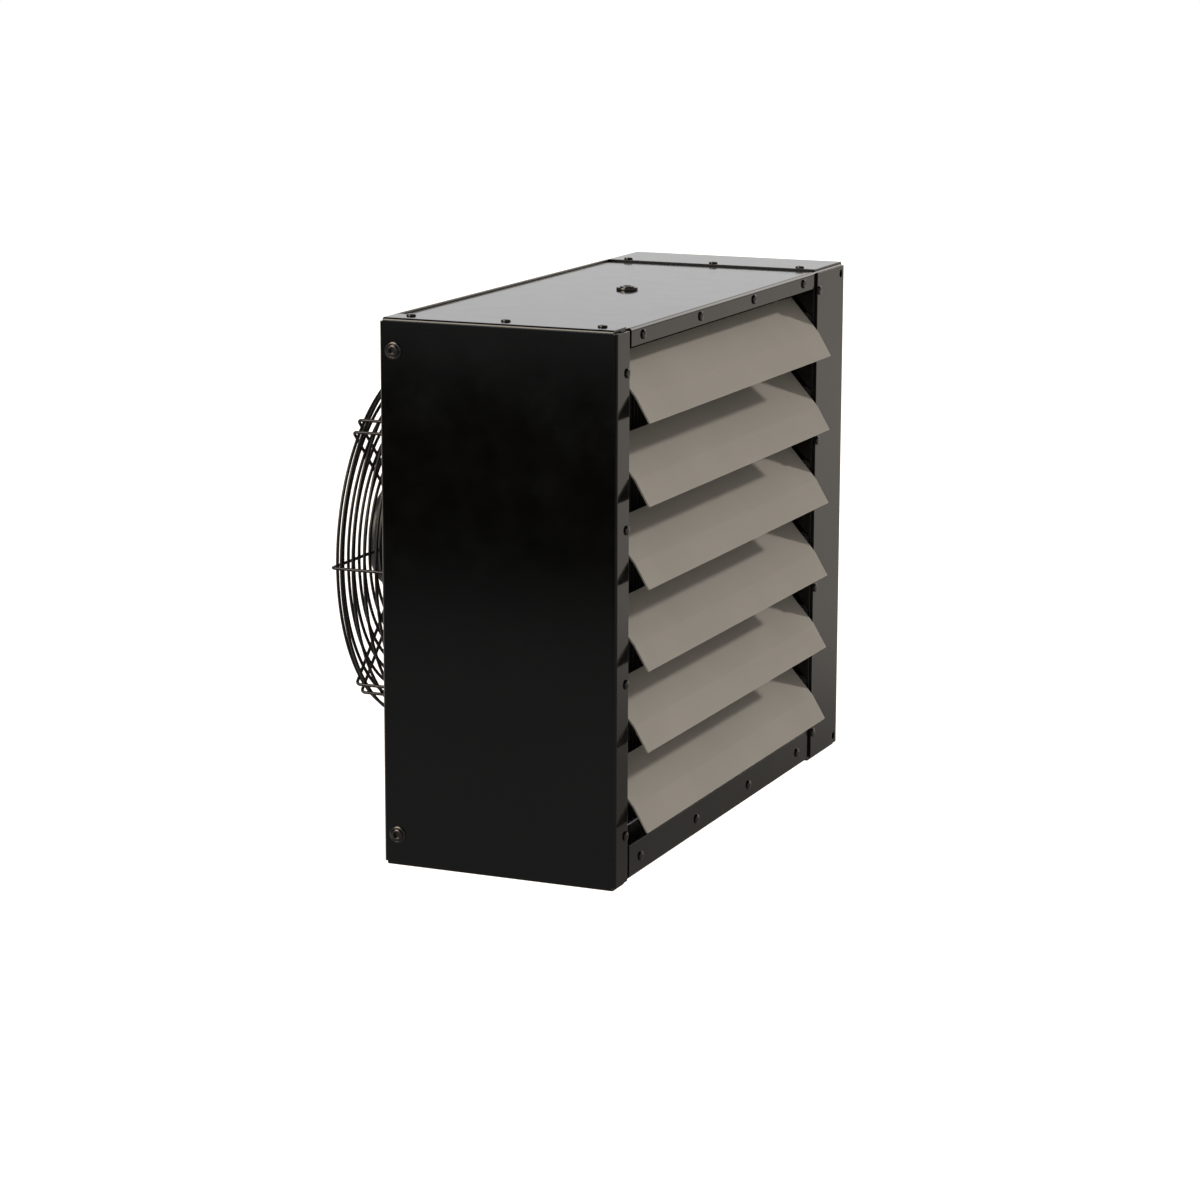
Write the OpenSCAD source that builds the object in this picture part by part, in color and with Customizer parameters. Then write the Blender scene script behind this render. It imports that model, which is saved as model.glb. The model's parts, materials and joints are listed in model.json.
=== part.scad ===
// Suspended warm-air heater: sheet steel casing, finned water coil, axial fan behind a
// wire basket and six hand-set louvres in front.
// Frame: origin at the mouth of the hanging thread, +Z up, louvres face -Y, fan at +Y.

/* [Casing] */
// Width of the casing across its two side faces
body_w = 586; // [560:1:640]
// Height of the casing
body_h = 500; // [490:1:560]
// Depth of the casing from front flange to rear flange
body_d = 228; // [224:1:260]
// Thickness of the casing sheets
sheet_t = 2; // [1.6:0.1:2.4]
// Inside radius of the casing folds
fold_r = 1; // [0.6:0.1:1.4]
// Width of the flanges on the narrow side
narrow_flange_w = 28; // [28:1:36]
// Width of the flanges on the header side
wide_flange_w = 79; // [78:1:90]
// Height of the strip above the louvres
top_strip_h = 18.5; // [16:0.5:22]
// Height of the strip below the louvres
bottom_strip_h = 33; // [28:0.5:38]
// Gap between the narrow flange and the ends of both strips
strip_end_gap = 9; // [5:0.5:10]
// Length of the lips on the rear panel
rear_lip_w = 15; // [10:1:20]
// Notch left open at each corner of the side panels
corner_notch = 3.4; // [3.4:0.1:5]

/* [Louvres] */
// Number of louvres
louvre_count = 6; // [6]
// Thickness of a louvre sheet
louvre_t = 1.5; // [1:0.1:1.8]
// Width of the leg below the fold
louvre_low_leg = 26.4; // [24:0.1:28]
// Width of the leg above the fold
louvre_high_leg = 44.1; // [40:0.1:45]
// Lean of the lower leg from upright at rest
louvre_low_lean = 30.5; // [26:0.5:34]
// Lean of the upper leg from upright at rest
louvre_high_lean = 41.2; // [36:0.5:44]
// Inside radius of the louvre fold
louvre_fold_r = 3; // [2:0.5:5]
// How far the fold stands in front of the casing
louvre_proud = 3.1; // [2:0.1:5]
// Space below the lowest louvre at rest
louvre_low_gap = 14.4; // [12:0.1:17]
// Space above the highest louvre at rest
louvre_high_gap = 9.8; // [9:0.1:12]
// Space between a louvre end and its bracket
louvre_end_gap = 6; // [4:0.5:8]
// Corner radius of a louvre
louvre_corner_r = 2.5; // [1:0.5:5]
// Radius of the louvre pivot pins
pivot_r = 3; // [2.5:0.1:3.5]
// Length of a pivot pin under its louvre
pivot_root = 18; // [12:1:30]
// Distance from the fold to the pivot, measured up the upper leg
pivot_up = 18.5; // [16:0.5:20]
// Weld sink of a pivot pin into its louvre
pivot_sink = 0.3; // [0.2:0.1:0.5]
// Thickness of the louvre frame
frame_t = 1.5; // [1.2:0.1:2]
// Depth of the louvre brackets behind the front
bracket_depth = 30; // [24:1:34]
// Width of the bracket leg behind the flange
bracket_leg = 18; // [14:1:20]

/* [Coil] */
// Number of tubes in each of the two rows
tube_count = 8; // [6:1:8]
// Outer radius of a coil tube
tube_r = 7.5; // [7:0.1:8]
// Wall of a coil tube
tube_wall = 1; // [0.8:0.1:1.2]
// Distance between the two rows as a share of the fin depth
row_share = 0.535; // [0.525:0.005:0.55]
// Thickness of a fin
fin_t = 0.5; // [0.3:0.1:0.8]
// Distance between fins
fin_pitch = 8; // [6:0.5:12]
// Radial room between a tube and its hole
tube_fit = 0.05; // [0.03:0.01:0.08]
// Thickness of the coil plates and rails
coil_plate_t = 1.5; // [1.2:0.1:2]
// Width of the flanges on the coil plates
coil_flange_w = 10; // [8:1:14]
// Distance from the flange edge to the coil plates
coil_side_gap = 3; // [2:0.5:4]
// Height of the rails above and below the coil
coil_rail_h = 22; // [20:1:26]
// Room between the swing of the louvres and the coil
coil_front_gap = 3.6; // [3:0.1:5]
// Room between the coil and the hanger rail
coil_rear_gap = 1.1; // [1:0.1:2]
// Room between the two headers
header_gap = 2; // [1.5:0.1:2.5]
// Wall of the headers
header_wall = 1.5; // [1.2:0.1:2]
// Distance from the coil plate to the header axis
header_off = 35; // [30:1:40]
// Height of a header end beyond its last tube
header_end = 18; // [14:1:22]
// Step from a header radius down to its stub radius
stub_step = 2; // [1.5:0.1:2.5]
// Wall of the pipe stubs
stub_wall = 2; // [1.5:0.1:2.5]
// Step from a stub radius up to its threaded spigot
spigot_step = 1.23; // [1:0.01:1.5]
// Length of the threaded spigot
spigot_l = 18; // [14:1:22]
// Step from a stub radius up to the flats of its hexagon
stub_hex_step = 4; // [3.5:0.5:6]
// Length of the hexagon on a pipe stub
stub_hex_l = 10; // [7:1:12]
// Height of the pipe stubs from the middle of the casing
stub_rise = 168; // [140:1:180]
// Step from a stub radius up to the lip of its grommet
grommet_step = 8; // [7.5:0.5:10]
// Thickness of a grommet lip
grommet_lip_t = 2; // [1.5:0.1:3]

/* [Fan] */
// Radius of the blade tips
blade_tip_r = 158; // [150:1:160]
// Number of blades
blade_count = 5; // [3:1:7]
// Thickness of a blade
blade_t = 2; // [1.5:0.1:3]
// Chord of a blade at its root
root_chord = 62; // [50:1:64]
// Chord of a blade at its tip
tip_chord = 118; // [90:1:130]
// Angle of the root chord from the fan plane
root_angle = 33; // [25:1:36]
// Angle of the tip chord from the fan plane
tip_angle = 17; // [12:1:20]
// Forward sweep of the blade tip
blade_sweep = 24; // [0:1:35]
// Hollow of a blade
blade_camber = 6; // [2:0.5:8]
// Middle of the blades from the rear face of the casing
blade_setback = 10; // [6:1:14]
// Room between the blade tips and the fan ring
tip_gap = 5; // [3:0.5:8]
// Thickness of the fan ring
ring_t = 1.5; // [1:0.1:2]
// Length of the fan ring
ring_l = 34; // [28:1:40]
// Rounding of the fan ring mouth
ring_mouth_r = 8; // [6:0.5:10]
// Width of the fan ring flange
ring_flange_w = 22; // [18:1:22]
// Step from the fan ring bore out to the hole in the rear panel
rear_hole_step = 13; // [11:0.5:15]

/* [Motor] */
// Outer radius of the turning motor can
can_r = 51; // [48:0.5:52]
// Wall of the motor can
can_wall = 3; // [2:0.5:4]
// Thickness of the can front
can_front_t = 5; // [4:0.5:7]
// Length of the motor can
can_l = 74; // [70:1:78]
// Front face of the can from the rear face of the casing
can_setback = 24; // [22:1:26]
// Radius of the shaft
shaft_r = 6; // [5:0.5:7]
// Radial running room of the shaft
shaft_fit = 0.03; // [0.02:0.01:0.08]
// Outer radius of the bearings
bearing_r = 11; // [10.5:0.5:12]
// Width of a bearing
bearing_w = 8; // [6:1:10]
// Radius of the motor housing
housing_r = 46; // [44:0.5:48]
// Radius of the motor housing flange
housing_flange_r = 62; // [61:0.5:64]
// Radius of the motor cap
cap_r = 52; // [50:0.5:52]
// Length of the motor cap
cap_l = 30; // [26:1:34]
// Rounding of the motor cap
cap_round = 7; // [4:0.5:9]
// Wall of the motor cap
cap_wall = 2; // [1.5:0.1:3]
// Neck radius of the cable gland
gland_r = 6; // [5:0.5:7]
// Outer radius of the stator core
core_r = 42; // [40:0.5:44]

/* [Guard] */
// Diameter of the guard wire
wire_d = 3; // [2.6:0.1:3.4]
// Weld sink between crossing wires
wire_sink = 0.3; // [0.2:0.05:0.4]
// Distance from the fan ring bore out to the guard wall
guard_out = 15; // [13:0.5:18]
// Depth of the guard behind the casing
guard_depth = 97; // [94:1:104]
// Bend radius of the guard wires
wire_bend_r = 4; // [3.5:0.5:6]
// Distance from the guard wall in to the largest ring on its end
end_ring_in = 6.5; // [6:0.1:8]
// Distance from the guard plate out to the smallest ring
end_ring_gap = 13.5; // [11:0.5:16]
// Number of rings on the end of the guard
end_ring_count = 9; // [6:1:9]
// Distance between the rings on the wall of the guard
wall_ring_pitch = 12; // [11:0.5:12.5]
// Distance of the first wall ring from the end rings
wall_ring_first = 6; // [5:0.5:8]
// Number of rings on the wall of the guard
wall_ring_count = 7; // [4:1:7]
// Distance between the two wires of a mounting loop
loop_w = 14; // [13:0.5:16]
// How far a mounting loop reaches outside the wall
loop_out = 12; // [10:0.5:16]
// Radius of the guard plate
plate_r = 70; // [68:0.5:72]
// Thickness of the guard plate
plate_t = 3; // [2:0.5:4]

/* [Fixings] */
// Radius of a screw head
head_r = 4; // [3.5:0.1:4.2]
// Height of a screw head
head_h = 2.4; // [1.8:0.1:3]
// Radius of a screw shank
shank_r = 1.75; // [1.5:0.05:2]
// Length of a screw shank
shank_l = 8; // [7:0.5:10]
// Radial room round a screw shank
screw_fit = 0.1; // [0.05:0.05:0.2]
// Distance of the flange screws from the flange edge
flange_screw_in = 5; // [4.5:0.5:7]
// Distance of the top and bottom screws from the flange edge
lid_screw_in = 8; // [7:0.5:12]
// Distance of the top and bottom screws from the front and rear
lid_screw_end = 22; // [18:1:30]
// Distance of the strip screws from the flanges
strip_screw_in = 35.5; // [30:0.5:45]
// Drop of the screws in the upper strip from the casing top
top_strip_screw_drop = 10.5; // [10:0.5:12]
// Rise of the screws in the lower strip from the casing bottom
bottom_strip_screw_rise = 17; // [14:0.5:20]
// Drop of the first narrow flange screw from the casing top
narrow_screw_drop = 39.5; // [36:0.5:60]
// Rise of the last narrow flange screw from the casing bottom
narrow_screw_rise = 46; // [42:0.5:60]
// Drop of the first wide flange screw from the casing top
wide_screw_drop = 21; // [21:0.5:30]
// Rise of the last wide flange screw from the casing bottom
wide_screw_rise = 29; // [20:0.5:30]
// Radius of the corner holes in the wide front flange
corner_hole_r = 4; // [3:0.5:5]
// Distance of the corner holes from top and bottom
corner_hole_end = 11; // [10:0.5:14]
// Distance of the corner holes from the side face
corner_hole_in = 11; // [9:0.5:14]
// Radius of the side bolts
bolt_r = 4; // [3.5:0.5:5]
// Width across the flats of a side bolt head
bolt_flats = 13; // [11:0.5:14]
// Height of a side bolt head
bolt_head_h = 5.3; // [4:0.1:6]
// Outer radius of a side bolt washer
washer_r = 8; // [7.5:0.5:9]
// Thickness of a side bolt washer
washer_t = 1.6; // [1:0.1:2]
// Distance of the side bolts from the rear face
bolt_in = 14; // [13:0.5:18]
// Distance of the side bolts from top and bottom
bolt_end = 29; // [26:1:40]
// Height of the nuts behind the side bolts
bolt_nut_h = 6.5; // [5:0.5:8]

/* [Hanger] */
// Width across the flats of the hanging nut
hanger_flats = 18.5; // [17:0.5:20]
// Height of the hexagon of the hanging nut
hanger_hex_h = 2.5; // [2:0.5:4]
// Radius of the collar on the hanging nut
hanger_collar_r = 7; // [6.5:0.5:8]
// Height of the collar on the hanging nut
hanger_collar_h = 1; // [0.5:0.1:2]
// Radius of the sleeve of the hanging nut
hanger_sleeve_r = 6; // [5.5:0.1:6.5]
// Length of the sleeve below the rail
hanger_sleeve_l = 10; // [9:0.5:14]
// Core radius of the hanging thread
hanger_thread_r = 3.4; // [3:0.1:4.2]
// Width of the hanger rail
rail_w = 30; // [28:1:30]
// Height of the hanger rail
rail_h = 25; // [22:1:28]
// Height of the lock nut under the rail
lock_nut_h = 6; // [5:0.5:8]

/* [Hidden] */

$fn = 48;
// Overrun of every cut
cut = 1;
// Room between faces that seat without touching
seat = 0.3;
// Number of short faces in one fold
fold_steps = 5;

steel_black = [0.07, 0.07, 0.075];
louvre_grey = [0.30, 0.27, 0.24];
coil_black = [0.05, 0.05, 0.05];
copper = [0.55, 0.29, 0.17];
brass = [0.60, 0.48, 0.26];
zinc = [0.55, 0.56, 0.58];
nylon = [0.12, 0.12, 0.12];

// Places of the casing
z_top = sheet_t - hanger_hex_h - hanger_collar_h;
z_bot = z_top - body_h;
z_mid = z_top - body_h / 2;
y_front = -body_d / 2;
y_rear = body_d / 2;
x_narrow = -body_w / 2 + narrow_flange_w;
x_wide = body_w / 2 - wide_flange_w;
x_mid = (x_narrow + x_wide) / 2;
open_w = x_wide - x_narrow;
panel_end = body_w / 2 - sheet_t - fold_r - seat;
strip_y = y_front + sheet_t;
panel_z = z_top - sheet_t;
floor_z = z_bot + sheet_t;
rear_y = y_rear - sheet_t;

// Louvre outline and places, with the fold of a louvre as its own zero
low_tip = -louvre_low_leg * [sin(louvre_low_lean), cos(louvre_low_lean)];
high_tip = louvre_high_leg * [sin(louvre_high_lean), cos(louvre_high_lean)];
high_dir = [sin(louvre_high_lean), cos(louvre_high_lean)];
under_dir = [cos(louvre_high_lean), -sin(louvre_high_lean)];
pivot_at = pivot_up * high_dir + (louvre_t / 2 + pivot_r - pivot_sink) * under_dir;
fold_y = y_front - louvre_proud;
low_fold_z = z_bot + bottom_strip_h + louvre_low_gap - low_tip[1];
high_fold_z = z_top - top_strip_h - louvre_high_gap - high_tip[1];
louvre_pitch = (high_fold_z - low_fold_z) / (louvre_count - 1);
function louvre_z(i) = high_fold_z - (i - 1) * louvre_pitch;
pivot_y = fold_y + pivot_at[0];
function pivot_z(i) = louvre_z(i) + pivot_at[1];
back_reach = norm(high_tip - pivot_at) + louvre_t / 2;
louvre_w = open_w - 2 * louvre_end_gap;
bush_r = pivot_r + 1.5 * frame_t;
bush_flange_r = pivot_r + 2.5 * frame_t;
bush_flange_t = louvre_end_gap / 3;
bush_tail = louvre_end_gap / 2;

// Places of the coil
coil_h = body_h - 4 * sheet_t - 2 * coil_rail_h;
tube_pitch = coil_h / tube_count;
coil_front = pivot_y + back_reach + coil_front_gap;
fin_depth = -coil_front - coil_rear_gap - rail_w / 2;
row_pitch = row_share * fin_depth;
coil_y = coil_front + fin_depth / 2;
coil_left = x_narrow + coil_side_gap;
coil_right = x_wide - coil_side_gap;
header_x = coil_right + header_off;
header_r = (row_pitch - header_gap) / 2;
stub_r = header_r - stub_step;
stub_bore_r = stub_r - stub_wall;
spigot_r = stub_r + spigot_step;
grommet_r = stub_r + grommet_step;
tube_end_x = header_x - header_r + 2 * header_wall;
header_top = (tube_count - 1) * tube_pitch / 2 + header_end;
stub_start_x = header_x + header_r - 2 * header_wall;
stub_hex_x = body_w / 2 + 2 * grommet_lip_t;
spigot_x = stub_hex_x + stub_hex_l + grommet_lip_t;
stub_end_x = spigot_x + spigot_l;
function tube_z(k) = z_mid + (k - (tube_count - 1) / 2) * tube_pitch;

// Places of the fan and its guard
ring_r = blade_tip_r + tip_gap;
rear_hole_r = ring_r + rear_hole_step;
guard_r = ring_r + guard_out;
end_ring_r = guard_r - end_ring_in;
end_ring_pitch = (end_ring_r - plate_r - end_ring_gap) / (end_ring_count - 1);
blade_y = y_rear - blade_setback;
can_y = y_rear - can_setback;
can_back_y = can_y + can_l;
guard_y = y_rear + guard_depth;
ring_y = guard_y - wire_d + wire_sink;
wall_ring_r = guard_r - wire_d + wire_sink;
plate_y = guard_y - wire_d / 2 - plate_t + wire_sink;
cap_y = plate_y + plate_t;
foot_y = rear_y + wire_d / 2;
spoke_in_r = (plate_r + cap_r) / 2 + wire_d / 2;
housing_y = can_back_y + 4 * seat + can_wall / 2;
bearing_fit = shaft_fit;
core_l = can_l - 2 * can_front_t - 6 * can_wall;
core_y = can_y + can_front_t + 5 * can_wall;
winding_r = (core_r + bearing_r + can_wall) / 2;
winding_t = (core_r - bearing_r - can_wall) / 4;
motor_screw_r = (cap_r + housing_flange_r) / 2;
loop_end_r = guard_r + loop_out;
guard_screw_r = loop_end_r - wire_d / 2;
guard_shank_r = loop_w / 2 - wire_d;
guard_head_r = loop_w / 2 + wire_d / 2;

// Points of the fixings
strip_pitch = (open_w - 2 * strip_screw_in) / 3;
strip_xs = [for (i = [0 : 3]) x_narrow + strip_screw_in + i * strip_pitch];
lid_ys = [y_front + lid_screw_end, 0, y_rear - lid_screw_end];
lid_xs = [x_narrow - lid_screw_in, x_wide + lid_screw_in];
function column(low, high) = [for (i = [0 : 3]) low + i * (high - low) / 3];
narrow_zs = column(z_bot + narrow_screw_rise, z_top - narrow_screw_drop);
wide_zs = column(z_bot + wide_screw_rise, z_top - wide_screw_drop);
strip_points = concat(
    [for (x = strip_xs) [x, z_top - top_strip_screw_drop]],
    [for (x = strip_xs) [x, z_bot + bottom_strip_screw_rise]]);
flange_points = concat(
    [for (z = narrow_zs) [x_narrow - flange_screw_in, z]],
    [for (z = wide_zs) [x_wide + flange_screw_in, z]]);
bolt_zs = [z_bot + bolt_end, z_top - bolt_end];

// Direction helpers for paths
function unit(v) = v / norm(v);
function left_of(v) = [-v[1], v[0]];
function side_of(a, b) = a[0] * b[1] - a[1] * b[0] > 0 ? 1 : -1;
function turned(v, a) = [v[0] * cos(a) - v[1] * sin(a), v[0] * sin(a) + v[1] * cos(a)];
function reversed(list) = [for (i = [len(list) - 1 : -1 : 0]) list[i]];

// Points along one side of a folded sheet whose middle line is path
function fold_side(path, mid_r, off) = concat(
    [path[0] + off * left_of(unit(path[1] - path[0]))],
    [for (i = [1 : len(path) - 2])
        let (
            d0 = unit(path[i] - path[i - 1]),
            d1 = unit(path[i + 1] - path[i]),
            way = side_of(d0, d1),
            bend = acos(d0 * d1),
            centre = path[i] - mid_r * tan(bend / 2) * d0 + way * mid_r * left_of(d0),
            arm = -way * (mid_r - way * off) * left_of(d0))
        for (k = [0 : fold_steps]) centre + turned(arm, way * bend * k / fold_steps)],
    [path[len(path) - 1] + off * left_of(unit(path[len(path) - 1] - path[len(path) - 2]))]);

// Section of a folded sheet
module folded(path, t, inner_r) {
    mid_r = inner_r + t / 2;
    polygon(concat(fold_side(path, mid_r, t / 2), reversed(fold_side(path, mid_r, -t / 2))));
}

// Points of a rectangle with round corners, centred
function round_corner(x, y, r, a) =
    [for (k = [0 : fold_steps]) [x, y] + r * [cos(a + 90 * k / fold_steps), sin(a + 90 * k / fold_steps)]];
function round_box(w, h, r) = concat(
    round_corner(w / 2 - r, h / 2 - r, r, 0),
    round_corner(-w / 2 + r, h / 2 - r, r, 90),
    round_corner(-w / 2 + r, -h / 2 + r, r, 180),
    round_corner(w / 2 - r, -h / 2 + r, r, 270));

// Turns that lay a shape drawn up +Z along another way
module to_front() rotate([90, 0, 0]) children();
module to_rear() rotate([-90, 0, 0]) children();
module to_right() rotate([0, 90, 0]) children();
module to_left() rotate([0, -90, 0]) children();
module to_below() rotate([180, 0, 0]) children();

// Lays a section drawn in Y and Z along X, from x0 over length l
module along_x(x0, l) translate([x0, 0, 0]) rotate([90, 0, 90]) linear_extrude(l) children();
// Lays a section drawn in X and Z along Y, from y0 over length l
module along_y(y0, l) translate([0, y0 + l, 0]) rotate([90, 0, 0]) linear_extrude(l) children();
// Lays a section drawn in X and Y along Z, from z0 over length l
module along_z(z0, l) translate([0, 0, z0]) linear_extrude(l) children();
// Turns a section drawn in radius and Y round the fan axis
module round_fan() translate([x_mid, 0, z_mid]) to_rear() rotate_extrude() children();
// Moves to the fan axis and turns to an angle round it, with radius along X
module on_fan(angle) translate([x_mid, 0, z_mid]) rotate([0, angle, 0]) children();

// Pan-head screw with a cross recess, seated on z = 0
module screw(r = head_r, h = head_h, stem_r = shank_r, stem_l = shank_l) {
    recess = 1.1 * r;
    slot = r / 4;
    difference() {
        union() {
            cylinder(h = h / 2, r = r);
            translate([0, 0, h / 2]) cylinder(h = h / 2, r1 = r, r2 = r * 3 / 4);
            translate([0, 0, -stem_l]) cylinder(h = stem_l, r = stem_r);
        }
        for (a = [0, 90]) rotate(a)
            translate([-recess / 2, -slot / 2, h / 2]) cube([recess, slot, h]);
    }
}
// Hexagon with its upper corners turned down
module hex_head(flats, h) intersection() {
    cylinder(h = h, r = flats / sqrt(3), $fn = 6);
    cylinder(h = h, r1 = 0.95 * flats / 2 + 2 * h, r2 = 0.95 * flats / 2);
}
module screw_hole() translate([0, 0, -shank_l - cut]) cylinder(h = shank_l + 2 * cut, r = shank_r + screw_fit);

// Carries its children to each group of fixings
module at_strip_fixings() for (p = strip_points) translate([p[0], strip_y, p[1]]) to_front() children();
module at_flange_fixings() for (p = flange_points) translate([p[0], y_front, p[1]]) to_front() children();
module at_rear_fixings() for (p = flange_points) translate([p[0], y_rear, p[1]]) to_rear() children();
module at_lid_fixings() for (x = lid_xs, y = lid_ys) {
    translate([x, y, z_top]) children();
    translate([x, y, z_bot]) to_below() children();
}
module at_left_bolts() for (z = bolt_zs) translate([-body_w / 2, y_rear - bolt_in, z]) to_left() children();
module at_right_bolts() for (z = bolt_zs) translate([body_w / 2, y_rear - bolt_in, z]) to_right() children();
module at_guard_loops() for (a = [45 : 90 : 315]) on_fan(a) children();
module front_holes() {
    at_strip_fixings() screw_hole();
    at_flange_fixings() screw_hole();
}

// Pan-shaped side panel; side is -1 for the narrow one and 1 for the header side
module side_panel(side, flange_w) {
    web_x = side * (body_w - sheet_t) / 2;
    edge_x = side * (body_w / 2 - flange_w);
    half_d = (body_d - sheet_t) / 2;
    low = z_bot + sheet_t / 2;
    high = z_top - sheet_t / 2;
    difference() {
        union() {
            along_z(z_bot + corner_notch, body_h - 2 * corner_notch)
                folded([[edge_x, -half_d], [web_x, -half_d], [web_x, half_d], [edge_x, half_d]],
                       sheet_t, fold_r);
            along_y(y_front + corner_notch, body_d - 2 * corner_notch)
                folded([[edge_x, low], [web_x, low], [web_x, high], [edge_x, high]],
                       sheet_t, fold_r);
        }
        at_flange_fixings() screw_hole();
        at_rear_fixings() screw_hole();
        at_lid_fixings() screw_hole();
        at_left_bolts() bolt_hole();
        at_right_bolts() bolt_hole();
        at_stubs() translate([0, 0, -cut]) cylinder(h = sheet_t + 2 * cut, r = grommet_r - 2 * grommet_lip_t);
        for (z = [z_bot + corner_hole_end, z_top - corner_hole_end])
            translate([body_w / 2 - corner_hole_in, y_front - cut, z])
                to_rear() cylinder(h = sheet_t + 2 * cut, r = corner_hole_r);
    }
}
module side_panel_left() color(steel_black) side_panel(-1, narrow_flange_w);
module side_panel_right() color(steel_black) side_panel(1, wide_flange_w);

// Takes the ends of both strips away behind the narrow flange and a gap beside it
module strip_end_cut() translate([-body_w / 2, strip_y - cut, z_bot])
    cube([narrow_flange_w + strip_end_gap, sheet_t + fold_r + cut, body_h]);

// Sheet over the coil and fan, folded down at the front as the upper strip
module top_panel() color(steel_black) difference() {
    along_x(-panel_end, 2 * panel_end)
        folded([[strip_y + sheet_t / 2, z_top - top_strip_h],
                [strip_y + sheet_t / 2, panel_z - sheet_t / 2],
                [rear_y, panel_z - sheet_t / 2]], sheet_t, fold_r);
    strip_end_cut();
    front_holes();
    at_lid_fixings() screw_hole();
    translate([0, 0, panel_z - 2 * sheet_t]) cylinder(h = 3 * sheet_t, r = hanger_sleeve_r + screw_fit);
}

// Sheet under the coil and fan, folded up at the front as the lower strip
module bottom_panel() color(steel_black) difference() {
    along_x(-panel_end, 2 * panel_end)
        folded([[rear_y, floor_z + sheet_t / 2],
                [strip_y + sheet_t / 2, floor_z + sheet_t / 2],
                [strip_y + sheet_t / 2, z_bot + bottom_strip_h]], sheet_t, fold_r);
    strip_end_cut();
    front_holes();
    at_lid_fixings() screw_hole();
}

// Rear sheet with lips under the lids and the hole for the fan
module rear_panel() color(steel_black) difference() {
    along_x(-panel_end, 2 * panel_end)
        folded([[rear_y - rear_lip_w, floor_z + 3 * sheet_t / 2 + seat],
                [rear_y - sheet_t / 2, floor_z + 3 * sheet_t / 2 + seat],
                [rear_y - sheet_t / 2, panel_z - 3 * sheet_t / 2 - seat],
                [rear_y - rear_lip_w, panel_z - 3 * sheet_t / 2 - seat]], sheet_t, fold_r);
    at_rear_fixings() screw_hole();
    translate([x_mid, rear_y - sheet_t - cut, z_mid]) to_rear()
        cylinder(h = sheet_t + 2 * cut, r = rear_hole_r);
    at_guard_loops() translate([loop_end_r, rear_y - sheet_t - cut, 0]) to_rear()
        cylinder(h = sheet_t + 2 * cut, r = guard_shank_r + screw_fit);
    rear_lid_reliefs();
}
// Notches that let the lid screws and the side nuts pass the rear lips
module rear_lid_reliefs() for (s = [-1, 1])
    translate([s * (body_w / 2 - bolt_nut_h), y_rear - bolt_in, z_mid])
        cube([2 * (bolt_nut_h + sheet_t), 2 * washer_r, body_h], center = true);

// Upright angle behind a front flange, with the bush holes of the louvres
module louvre_bracket(side, edge_x) {
    leg_x = edge_x + side * frame_t / 2;
    low = z_bot + bottom_strip_h + seat;
    high = z_top - top_strip_h - seat;
    difference() {
        along_z(low, high - low)
            folded([[edge_x + side * bracket_leg, strip_y + frame_t / 2],
                    [leg_x, strip_y + frame_t / 2],
                    [leg_x, strip_y + bracket_depth]], frame_t, fold_r);
        at_flange_fixings() screw_hole();
        for (i = [1 : louvre_count]) translate([leg_x, pivot_y, pivot_z(i)])
            to_right() cylinder(h = 2 * (frame_t + cut), r = bush_r + screw_fit, center = true);
    }
}
module louvre_bracket_left() color(steel_black) louvre_bracket(-1, x_narrow);
module louvre_bracket_right() color(steel_black) louvre_bracket(1, x_wide);

// Angles behind the two strips
module louvre_rail(edge_z, lid_z, depth) {
    back = strip_y + sheet_t + frame_t / 2;
    difference() {
        along_x(x_narrow, open_w)
            folded([[back, edge_z], [back, lid_z], [strip_y + depth, lid_z]], frame_t, fold_r);
        at_strip_fixings() screw_hole();
    }
}
module louvre_rail_top() color(steel_black)
    louvre_rail(z_top - top_strip_h, panel_z - sheet_t - frame_t / 2, bracket_depth);
module louvre_rail_bottom() color(steel_black)
    louvre_rail(z_bot + bottom_strip_h, floor_z + sheet_t + frame_t / 2, bracket_depth);

// Nylon bushes of the louvre pivots, one solid each
module bush() difference() {
    union() {
        translate([0, 0, frame_t]) cylinder(h = bush_flange_t, r = bush_flange_r);
        translate([0, 0, -bush_tail]) cylinder(h = bush_tail + frame_t, r = bush_r);
    }
    translate([0, 0, -bush_tail - cut])
        cylinder(h = bush_tail + frame_t + bush_flange_t + 2 * cut, r = pivot_r + shaft_fit);
}
module louvre_bushes() color(nylon) for (i = [1 : louvre_count]) {
    translate([x_narrow - frame_t, pivot_y, pivot_z(i)]) to_right() bush();
    translate([x_wide + frame_t, pivot_y, pivot_z(i)]) to_left() bush();
}

// Louvre i, counted from the top: a sheet folded once along its length
module louvre(i) color(louvre_grey) intersection() {
    translate([0, fold_y, louvre_z(i)]) along_x(x_narrow + louvre_end_gap, louvre_w)
        folded([low_tip, [0, 0], high_tip], louvre_t, louvre_fold_r);
    translate([x_mid, 0, louvre_z(i) + (low_tip[1] + high_tip[1]) / 2])
        along_y(y_front - body_d / 2, body_d)
            polygon(round_box(louvre_w, high_tip[1] - low_tip[1] + louvre_t, louvre_corner_r));
}
// Pins welded under the two ends of louvre i
module louvre_pivots(i) color(zinc) for (side = [-1, 1])
    translate([x_mid + side * louvre_w / 2, pivot_y, pivot_z(i)])
        mirror([side < 0 ? 1 : 0, 0, 0]) translate([-pivot_root, 0, 0]) to_right()
            cylinder(h = pivot_root + louvre_end_gap + frame_t + bush_tail, r = pivot_r);
module louvre_1() louvre(1);
module louvre_2() louvre(2);
module louvre_3() louvre(3);
module louvre_4() louvre(4);
module louvre_5() louvre(5);
module louvre_6() louvre(6);
module louvre_1_pivots() louvre_pivots(1);
module louvre_2_pivots() louvre_pivots(2);
module louvre_3_pivots() louvre_pivots(3);
module louvre_4_pivots() louvre_pivots(4);
module louvre_5_pivots() louvre_pivots(5);
module louvre_6_pivots() louvre_pivots(6);

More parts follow.
